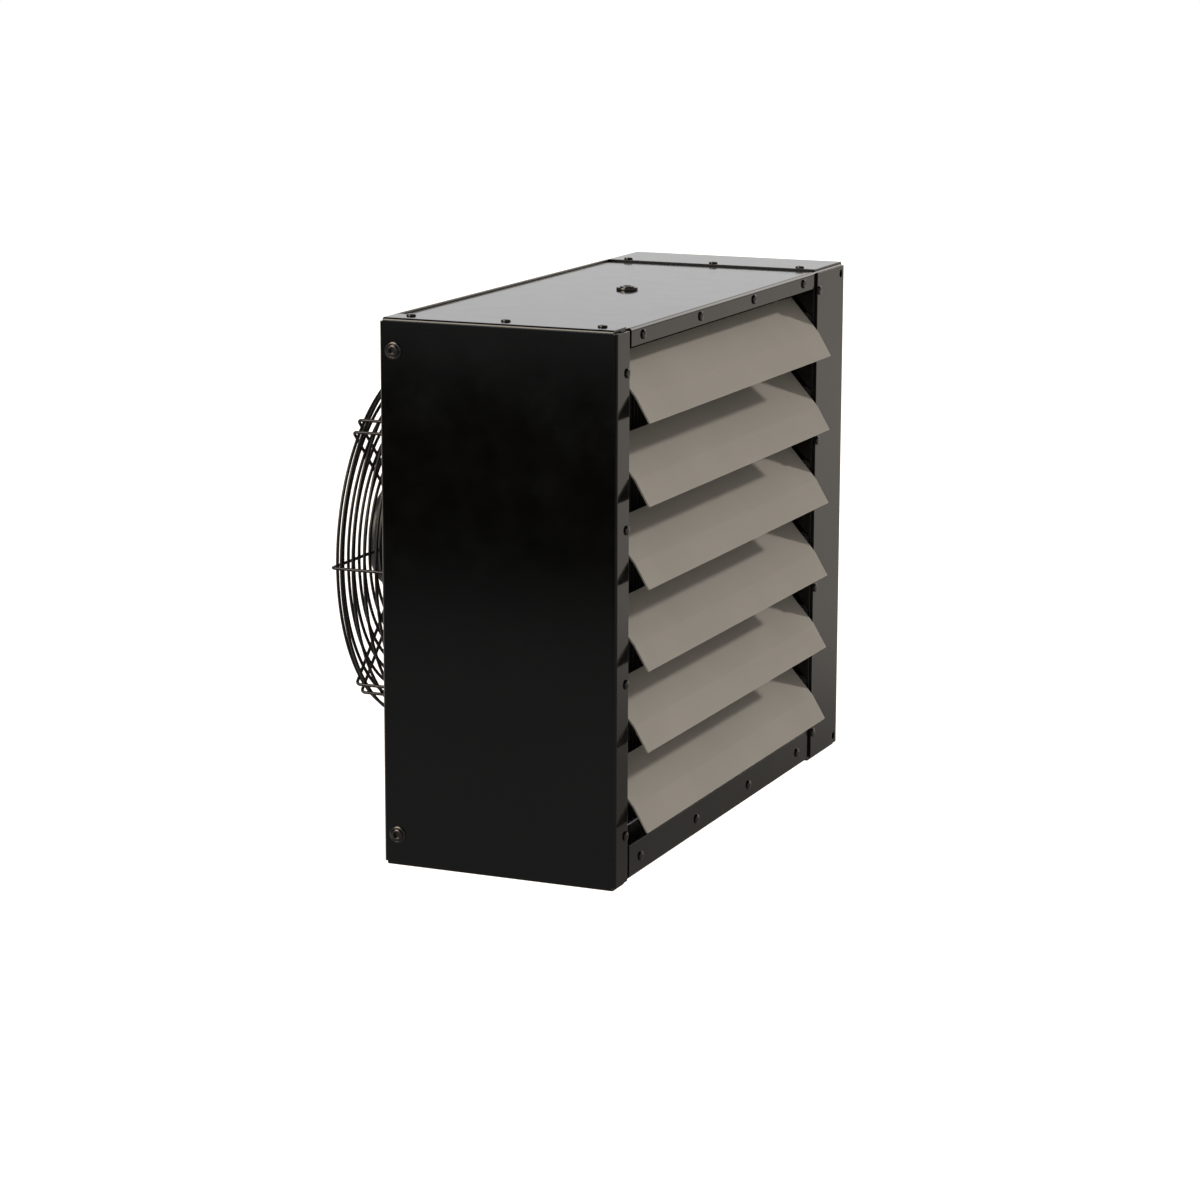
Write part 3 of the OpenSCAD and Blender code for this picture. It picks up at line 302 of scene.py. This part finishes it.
def make_materials():
    """One finish for each slot of the record."""
    return {
        "casing_paint": powder_coat(
            "casing_coat",
            tint=(0.0015, 0.0014, 0.0013),
            # Paler edge colour: partly wear, partly a painted highlight along the sheet's bends
            edge_wear_and_highlight=(0.030, 0.028, 0.025),
            rough=0.11,
            depth=0.000003,
            edge_radius=0.0009,
            ripple=0.0,
            soft_edge=0.0007,
        ),
        "louvre_paint": powder_coat(
            "louvre_coat",
            tint=(0.205, 0.199, 0.188),
            edge_wear_and_highlight=(0.28, 0.27, 0.255),
            rough=0.72,
            grain=1100.0,
            edge_radius=0.0009,
            specular=0.15,
            uneven=0.04,
            ripple=0.0,
        ),
        "fan_paint": powder_coat(
            "fan_coat",
            tint=(0.010, 0.010, 0.011),
            edge_wear_and_highlight=(0.08, 0.08, 0.08),
            rough=0.38,
            grain=1800.0,
        ),
        "guard_paint": powder_coat(
            "guard_coat",
            tint=(0.012, 0.012, 0.012),
            edge_wear_and_highlight=(0.12, 0.11, 0.10),
            rough=0.36,
            grain=2400.0,
            depth=0.00003,
            edge_radius=0.0004,
        ),
        "coil_coating": powder_coat(
            "coil_coat",
            tint=(0.005, 0.005, 0.005),
            edge_wear_and_highlight=(0.03, 0.03, 0.03),
            rough=0.6,
            grain=2400.0,
        ),
        "black_fixings": powder_coat(
            "black_zinc",
            tint=(0.085, 0.080, 0.074),
            edge_wear_and_highlight=(0.24, 0.22, 0.20),
            rough=0.20,
            grain=3000.0,
            depth=0.000002,
            edge_radius=0.0003,
            ripple=0.0,
            metallic=1.0,
            soft_edge=0.0004,
        ),
        "zinc_steel": zinc_plate("zinc_sheet"),
        "winding_copper": windings("winding_wire"),
        "stub_brass": metal(
            "stub_brass",
            tint=(0.62, 0.45, 0.20),
            dull=(0.38, 0.27, 0.13),
            rough=0.30,
            brushed=(60.0, 900.0, 900.0),
        ),
        "black_nylon": moulded("nylon", tint=(0.014, 0.014, 0.015), rough=0.46),
        "grommet_rubber": moulded("rubber", tint=(0.010, 0.010, 0.010), rough=0.72),
    }


# Nodes that are ground bright, unlike the rest of their slot
BRIGHT_METAL = {
    "motor_shaft": {"tint": (0.62, 0.62, 0.62), "dull": (0.40, 0.39, 0.38), "rough": 0.25}
}


def dress_nodes(finishes):
    """Gives every CAD node the finish of its slot."""
    slots = {s["node"]: s["material_slot"] for s in frame["record"]["subparts"]}
    for name, node in NODES.items():
        finish = finishes[slots[name]]
        if name in BRIGHT_METAL:
            finish = metal(name + "_metal", **BRIGHT_METAL[name])
        node.data.materials.clear()
        node.data.materials.append(finish)


# ---- fixings, in metres: a profile gives the radius and height of each point that is turned ----
SCREW_PROFILE = (
    (0.0, -0.0080),
    (0.00175, -0.0080),
    (0.00175, 0.0),
    (0.0043, 0.0),
    (0.0044, 0.0004),
    (0.0043, 0.0010),
    (0.0040, 0.0014),
    (0.0035, 0.0016),
    (0.0, 0.00175),
)
# Cross recess: half length and width of its arms where the cutting tool starts, its depth under
# the head, and the share of both left at its foot
SCREW_CROSS = {"reach": 0.0024, "width": 0.00085, "depth": 0.0014, "foot": 0.4}
# Washer, its rounded rim, the groove round the button head, and the head
BOLT_PROFILE = (
    (0.0, -0.0016),
    (0.0078, -0.0016),
    (0.0080, -0.0012),
    (0.0079, -0.0007),
    (0.0075, -0.0003),
    (0.0069, -0.00005),
    (0.0062, 0.0),
    (0.0059, -0.0004),
    (0.0056, -0.0004),
    (0.0056, 0.0001),
    (0.0054, 0.0007),
    (0.0050, 0.0011),
    (0.0044, 0.00135),
    (0.0, 0.0014),
)
# Socket: radius of its corners, its depth under the head, and the angles of its corners
BOLT_SOCKET = {"radius": 0.0035, "depth": 0.0027}
HEXAGON = tuple(math.radians(60 * k) for k in range(6))
# Outside of the hanging nut, from its foot on the top panel to the mouth of its thread
NUT_PROFILE = (
    (0.0100, -0.0035),
    (0.0103, -0.0033),
    (0.0103, -0.0017),
    (0.0101, -0.0013),
    (0.0097, -0.00105),
    (0.0091, -0.0010),
    (0.0071, -0.0010),
    (0.0070, -0.0009),
    (0.0070, -0.0005),
    (0.0068, -0.00018),
    (0.0064, -0.00005),
    (0.0043, -0.00005),
    (0.0040, -0.0003),
)
# Radii of the thread at its crest and root, its pitch, and the count of its turns
NUT_THREAD = {"crest": 0.0034, "root": 0.0041, "pitch": 0.0015, "turns": 8}
# Points of one turn of the thread, each at a share of the pitch below its top
THREAD_POINTS = (("crest", 0.40), ("crest", 0.55), ("root", 0.95))
# Sleeve under the thread, from the end of the bore up the outside to the foot
NUT_SLEEVE = ((0.0034, -0.0175), (0.0060, -0.0175), (0.0060, -0.0035))
# Steps round a turned piece
TURN_STEPS = 36
# Edges sharper than this stay sharp, in degrees
SHARP_FROM = 32.0
# Turn of each head about its axis against the one before it, in degrees
HEAD_TURN = 37.0
# Corners nearer than this are one corner
WELD = 0.000001
# Points of a fixing farther from its axis than this share of its radius are its rim
RIM_SHARE = 0.9
# Fixings are put in order by their places, in metres to this many digits
PLACE_DIGITS = 4
# Rear lip: room at its ends, thickness, height over the panel, rounding
LIP_GAP, LIP_DEEP, LIP_HIGH, LIP_ROUND = 0.0003, 0.0020, 0.0019, 0.0003
LIP_ROUND_STEPS = 2


def on_circle(radius, angle):
    """Point on a circle about the origin, at an angle in radians."""
    return radius * math.cos(angle), radius * math.sin(angle)


def turned(profile):
    """Solid turned from a profile that starts and ends on the axis, or that closes into a ring."""
    work = bmesh.new()
    angles = [2 * math.pi * k / TURN_STEPS for k in range(TURN_STEPS)]
    rings = []
    for radius, height in profile:
        if radius == 0.0:
            rings.append([work.verts.new((0.0, 0.0, height))])
        else:
            rings.append([work.verts.new((*on_circle(radius, a), height)) for a in angles])
    pairs = list(zip(rings, rings[1:]))
    if profile[0][0] > 0.0:
        pairs.append((rings[-1], rings[0]))
    for below, above in pairs:
        for k in range(TURN_STEPS):
            corners = [below[k % len(below)], below[(k + 1) % len(below)]]
            corners += [above[(k + 1) % len(above)], above[k % len(above)]]
            work.faces.new(list(dict.fromkeys(corners)))
    return work


def prism(outline, top, depth, foot=1.0):
    """Solid from an outline at a height down to the same outline scaled by foot."""
    work = bmesh.new()
    upper = [work.verts.new((x, y, top)) for x, y in outline]
    lower = [work.verts.new((x * foot, y * foot, top - depth)) for x, y in outline]
    count = len(outline)
    work.faces.new(upper)
    work.faces.new(lower[::-1])
    for k in range(count):
        work.faces.new([upper[k], lower[k], lower[(k + 1) % count], upper[(k + 1) % count]])
    return work


def as_object(name, work):
    """Object in the scene with a bmesh as its mesh, all faces turned outward."""
    mesh = bpy.data.meshes.new(name)
    bmesh.ops.recalc_face_normals(work, faces=work.faces)
    work.to_mesh(mesh)
    work.free()
    thing = bpy.data.objects.new(name, mesh)
    bpy.context.scene.collection.objects.link(thing)
    return thing


def smooth(mesh):
    """Smooth shading except over sharp edges."""
    for face in mesh.polygons:
        face.use_smooth = True
    mesh.set_sharp_from_angle(angle=math.radians(SHARP_FROM))


def carved(solid, tool):
    """Mesh of a solid less a tool; both leave the scene."""
    body, cutter = as_object("solid", solid), as_object("tool", tool)
    step = body.modifiers.new("carve", "BOOLEAN")
    step.operation, step.solver, step.object = "DIFFERENCE", "EXACT", cutter
    ready = body.evaluated_get(bpy.context.evaluated_depsgraph_get())
    mesh = bpy.data.meshes.new_from_object(ready)
    bpy.data.objects.remove(body)
    bpy.data.objects.remove(cutter)
    return mesh


def screw_head():
    """Low pan head with a cross recess and its shank."""
    reach, width = SCREW_CROSS["reach"], SCREW_CROSS["width"]
    half = width / 2
    cross = [(reach, -half), (reach, half), (half, half)]
    cross += [(half, reach), (-half, reach), (-half, half)]
    cross += [(-x, -y) for x, y in cross]
    top = SCREW_PROFILE[-1][1] + width
    tool = prism(cross, top, SCREW_CROSS["depth"] + width, SCREW_CROSS["foot"])
    return carved(turned(SCREW_PROFILE), tool)


def bolt_head():
    """Button head with a hexagon socket on a washer with a rounded rim."""
    radius, depth = BOLT_SOCKET["radius"], BOLT_SOCKET["depth"]
    socket = [on_circle(radius, a) for a in HEXAGON]
    top = BOLT_PROFILE[-1][1] + radius
    return carved(turned(BOLT_PROFILE), prism(socket, top, depth + radius))


def loose_groups(work):
    """Corners of each separate solid of a bmesh."""
    left = set(work.verts)
    for seed in list(work.verts):
        if seed not in left:
            continue
        group, front = [], [seed]
        left.discard(seed)
        while front:
            vertex = front.pop()
            group.append(vertex.co.copy())
            for edge in vertex.link_edges:
                other = edge.other_vert(vertex)
                if other in left:
                    left.discard(other)
                    front.append(other)
        yield group


def seat_of(group):
    """Middle of the underside of a fixing's head, and the way that the head points."""
    low = Vector([min(p[i] for p in group) for i in range(3)])
    high = Vector([max(p[i] for p in group) for i in range(3)])
    size, middle = high - low, (low + high) / 2
    axis = max(range(3), key=lambda i: size[i])
    reach = max(size[(axis + 1) % 3], size[(axis + 2) % 3]) / 2

    def off_axis(point):
        away = point - middle
        away[axis] = 0.0
        return away.length

    rim = [p[axis] for p in group if off_axis(p) > RIM_SHARE * reach]
    way = 1.0 if sum(rim) / len(rim) > middle[axis] else -1.0
    middle[axis] = min(rim) if way > 0 else max(rim)
    outward = Vector((0.0, 0.0, 0.0))
    outward[axis] = way
    return middle, outward


def places_of(node):
    """Seat and outward direction of every head in a CAD node of fixings."""
    work = bmesh.new()
    work.from_mesh(NODES[node].data)
    work.transform(NODES[node].matrix_world)
    bmesh.ops.remove_doubles(work, verts=work.verts, dist=WELD)
    places = [seat_of(group) for group in loose_groups(work)]
    work.free()
    return sorted(places, key=lambda place: tuple(round(c, PLACE_DIGITS) for c in place[0]))


def set_heads(name, node, others, head, finish):
    """One piece with a head at every fixing of a CAD node, in the node's place."""
    work = bmesh.new()
    for index, (seat, outward) in enumerate(places_of(node)):
        spin = Matrix.Rotation(math.radians(HEAD_TURN * index), 4, "Z")
        turn = outward.to_track_quat("Z", "Y").to_matrix().to_4x4()
        part = head.copy()
        part.transform(Matrix.Translation(seat) @ turn @ spin)
        work.from_mesh(part)
        bpy.data.meshes.remove(part)
    mesh = bpy.data.meshes.new(name)
    work.to_mesh(mesh)
    work.free()
    mesh.materials.append(finish)
    smooth(mesh)
    piece = bpy.data.objects.new(name, mesh)
    bpy.context.scene.collection.objects.link(piece)
    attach(piece, "casing")
    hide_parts(node, *others)


def make_hanging_nut(finish):
    """Round nut with a collar, a grooved bore and a sleeve, in the place of the CAD one."""
    mouth, pitch = NUT_PROFILE[-1][1], NUT_THREAD["pitch"]
    tops = [mouth - turn * pitch for turn in range(NUT_THREAD["turns"])]
    thread = tuple(
        (NUT_THREAD[part], top - pitch * share) for top in tops for part, share in THREAD_POINTS
    )
    piece = as_object("hanging_nut_turned", turned(NUT_PROFILE + thread + NUT_SLEEVE))
    piece.data.materials.append(finish)
    smooth(piece.data)
    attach(piece, "casing")
    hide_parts("hanger_nut")


def make_fixings(finishes):
    """Screws, bolts and the hanging nut, turned and recessed in place of the plain CAD ones."""
    finish = finishes["black_fixings"]
    screw, bolt = screw_head(), bolt_head()
    for group in ("front", "lid", "rear"):
        set_heads(group + "_screw_heads", group + "_screws", (), screw, finish)
    set_heads("side_bolt_heads", "side_bolts", ("side_washers",), bolt, finish)
    bpy.data.meshes.remove(screw)
    bpy.data.meshes.remove(bolt)
    make_hanging_nut(finish)


def make_rear_lip(finishes):
    """Upturned rear edge of the top panel between the lids, nearly as high as they are."""
    panel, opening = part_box("top_panel"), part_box("louvre_rail_top")
    low = Vector((opening[0].x + LIP_GAP, panel[1].y - LIP_DEEP, panel[1].z))
    high = Vector((opening[1].x - LIP_GAP, panel[1].y, panel[1].z + LIP_HIGH))
    work = bmesh.new()
    bmesh.ops.create_cube(work, size=1.0)
    size = high - low
    work.transform(Matrix.Translation((low + high) / 2) @ Matrix.Diagonal((*size, 1.0)))
    bmesh.ops.bevel(
        work, geom=work.edges[:], offset=LIP_ROUND, segments=LIP_ROUND_STEPS, affect="EDGES"
    )
    piece = as_object("rear_top_lip", work)
    piece.data.materials.append(finishes["casing_paint"])
    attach(piece, "casing")


# ---- light, floor and sky, in metres and degrees ----
KEY_FROM = (0.922, -0.26, 0.29)
KEY_STRENGTH = 4.9
KEY_COLOR = (1.0, 0.925, 0.835)
KEY_ANGLE = 2.6
# Even light of the sky for diffuse surfaces
FILL_SKY = 0.70
FILL_COLOR = (1.0, 0.91, 0.80)
# What gloss sees of the sky: an even base, a bright ring that fades between two heights over the
# horizon, given as sines, and patches
GLOSS_BASE = 0.03
GLOSS_RING = {"strength": 0.24, "full_until": 0.30, "gone_from": 0.55}
# Patches: direction, angle of the full core, angle of the outer edge, strength, colour
GLOSS_PATCHES = {
    "ahead": ((0.90, 0.40, 0.14), 15.0, 32.0, 0.62, WHITE),
    "key": (KEY_FROM, 8.0, 20.0, 2.0, (1.0, 0.93, 0.85)),
    "behind": ((-0.73, 0.39, 0.56), 8.0, 24.0, 8.0, (1.0, 0.88, 0.72)),
    "low_behind": ((-0.90, 0.39, 0.20), 8.0, 22.0, 0.80, WHITE),
}
# Floor: its depth under the heater, the length of its sides, and its paper's grain and shades
FLOOR_DROP = 1.10
FLOOR_SIDE = 30.0
FLOOR_GRAIN = 3.0
FLOOR_DARKER, FLOOR_PALER = (0.80, 0.80, 0.80), (0.84, 0.84, 0.84)
# Light added where the camera sees the floor, so that it is white outside the shadow
FLOOR_GLOW = 0.45
# Brightness that gloss sees on the floor, by distance along X
FLOOR_GLOSS = (
    (-11.0, 0.20),
    (-9.6, 0.005),
    (-6.8, 0.005),
    (-5.6, 0.20),
    (-4.0, 0.24),
    (3.8, 0.20),
    (6.0, 0.55),
    (9.5, 0.62),
)
# Warmer floor for gloss on the key's side, and where it sets in along X
FLOOR_WARM, FLOOR_WARM_X = (1.0, 0.93, 0.84), (-2.0, 2.0)
# Brighter floor for gloss behind the heater: its level, and where it sets in along Y and X
FLOOR_BACK = {"level": 0.85, "along_y": (1.2, 2.8), "along_x": (-2.8, -1.6)}


def floor_gloss(t):
    """Shader that glossy rays see on the floor."""
    axes = t.add("ShaderNodeSeparateXYZ", {0: t.place}).outputs
    level = FLOOR_GLOSS[0][1]
    for (start, before), (end, after) in zip(FLOOR_GLOSS, FLOOR_GLOSS[1:]):
        step = t.fit(axes["X"], start, end, to_high=after - before, ease="SMOOTHSTEP")
        level = t.math("ADD", step, level)
    back_y = t.fit(axes["Y"], *FLOOR_BACK["along_y"])
    back_x = t.fit(axes["X"], *FLOOR_BACK["along_x"])
    behind = t.math("MULTIPLY", back_y, back_x)
    level = t.math("MULTIPLY", level, t.math("SUBTRACT", 1.0, behind))
    level = t.math("ADD", level, t.math("MULTIPLY", behind, FLOOR_BACK["level"]))
    color = t.mix(t.fit(axes["X"], *FLOOR_WARM_X), WHITE, FLOOR_WARM)
    return t.add("ShaderNodeEmission", {"Color": color, "Strength": level}).outputs[0]


def make_floor():
    """Pale floor under the hanging heater: white with its shadow from above, clear from below."""
    low = CAD_BOX[0][2] - FLOOR_DROP
    half = FLOOR_SIDE / 2
    mesh = bpy.data.meshes.new("floor")
    corners = [(-half, -half, low), (half, -half, low), (half, half, low), (-half, half, low)]
    mesh.from_pydata(corners, [], [(0, 1, 2, 3)])
    floor = bpy.data.objects.new("floor", mesh)
    bpy.context.scene.collection.objects.link(floor)
    t = Tree("floor_paper")
    color = t.mix(t.noise(FLOOR_GRAIN), FLOOR_DARKER, FLOOR_PALER)
    paper = t.add("ShaderNodeBsdfDiffuse", {"Color": color}).outputs[0]
    glow_inputs = {"Color": (*WHITE, 1.0), "Strength": FLOOR_GLOW}
    glow = t.add("ShaderNodeEmission", glow_inputs).outputs[0]
    lifted = t.add("ShaderNodeAddShader", {0: paper, 1: glow}).outputs[0]
    clear = t.add("ShaderNodeBsdfTransparent").outputs[0]
    path = t.add("ShaderNodeLightPath").outputs
    underside = t.add("ShaderNodeNewGeometry").outputs["Backfacing"]
    from_below = t.math("MULTIPLY", underside, path["Is Camera Ray"])
    shader = paper
    for share, shown in (
        (path["Is Glossy Ray"], floor_gloss(t)),
        (path["Is Camera Ray"], lifted),
        (from_below, clear),
    ):
        shader = t.add("ShaderNodeMixShader", {0: share, 1: shader, 2: shown}).outputs[0]
    t.links.new(shader, t.out.inputs["Surface"])
    mesh.materials.append(t.material)
    floor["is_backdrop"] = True


def make_sky():
    """White to the camera, an even fill for diffuse light, and bright patches for gloss."""
    world = bpy.data.worlds.new("sky")
    bpy.context.scene.world = world
    world.use_nodes = True
    t = Nodes(world.node_tree)
    way = t.add("ShaderNodeTexCoord").outputs["Generated"]
    path = t.add("ShaderNodeLightPath").outputs
    camera_ray = path["Is Camera Ray"]
    gloss_ray = t.math("MAXIMUM", path["Is Glossy Ray"], path["Is Transmission Ray"])
    fill_ray = t.math("SUBTRACT", t.math("SUBTRACT", 1.0, camera_ray), gloss_ray)
    height = t.add("ShaderNodeSeparateXYZ", {0: way}).outputs["Z"]
    ring = t.fit(
        height,
        GLOSS_RING["full_until"],
        GLOSS_RING["gone_from"],
        to_low=GLOSS_RING["strength"],
        to_high=0.0,
        ease="SMOOTHSTEP",
    )
    parts = [
        (WHITE, camera_ray),
        (FILL_COLOR, t.math("MULTIPLY", fill_ray, FILL_SKY)),
        (WHITE, t.math("MULTIPLY", gloss_ray, GLOSS_BASE)),
        (WHITE, t.math("MULTIPLY", ring, gloss_ray)),
    ]
    for direction, core, edge, strength, color in GLOSS_PATCHES.values():
        toward = tuple(Vector(direction).normalized())
        match = t.add("ShaderNodeVectorMath", {0: way, 1: toward}, operation="DOT_PRODUCT")
        cosines = (math.cos(math.radians(edge)), math.cos(math.radians(core)))
        share = t.fit(match.outputs["Value"], *cosines, to_high=strength, ease="SMOOTHSTEP")
        parts.append((color, t.math("MULTIPLY", share, gloss_ray)))
    total = None
    for color, strength in parts:
        inputs = {"Color": (*color, 1.0), "Strength": strength}
        part = t.add("ShaderNodeBackground", inputs).outputs[0]
        if total is None:
            total = part
        else:
            total = t.add("ShaderNodeAddShader", {0: total, 1: part}).outputs[0]
    out = t.nodes.new("ShaderNodeOutputWorld")
    t.links.new(total, out.inputs["Surface"])


def make_lamps():
    """One key from the upper right in front; gloss sees its patch of the sky in its place."""
    data = bpy.data.lights.new("key", "SUN")
    data.energy = KEY_STRENGTH
    data.angle = math.radians(KEY_ANGLE)
    data.color = KEY_COLOR
    lamp = bpy.data.objects.new("key", data)
    lamp.rotation_euler = Vector(KEY_FROM).to_track_quat("Z", "Y").to_euler()
    lamp.visible_glossy = False
    bpy.context.scene.collection.objects.link(lamp)


def write_sizes():
    """Puts the CAD box and the dressed box into plain numbers; nothing is written or kept."""
    boxes = {"cad": CAD_BOX, "visual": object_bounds()}
    plain = {key: [[float(c) for c in corner] for corner in box] for key, box in boxes.items()}


bpy.context.scene.view_settings.view_transform = "Standard"
make_camera()
make_sky()
make_lamps()
make_floor()
finishes = make_materials()
dress_nodes(finishes)
make_fixings(finishes)
make_rear_lip(finishes)
write_sizes()
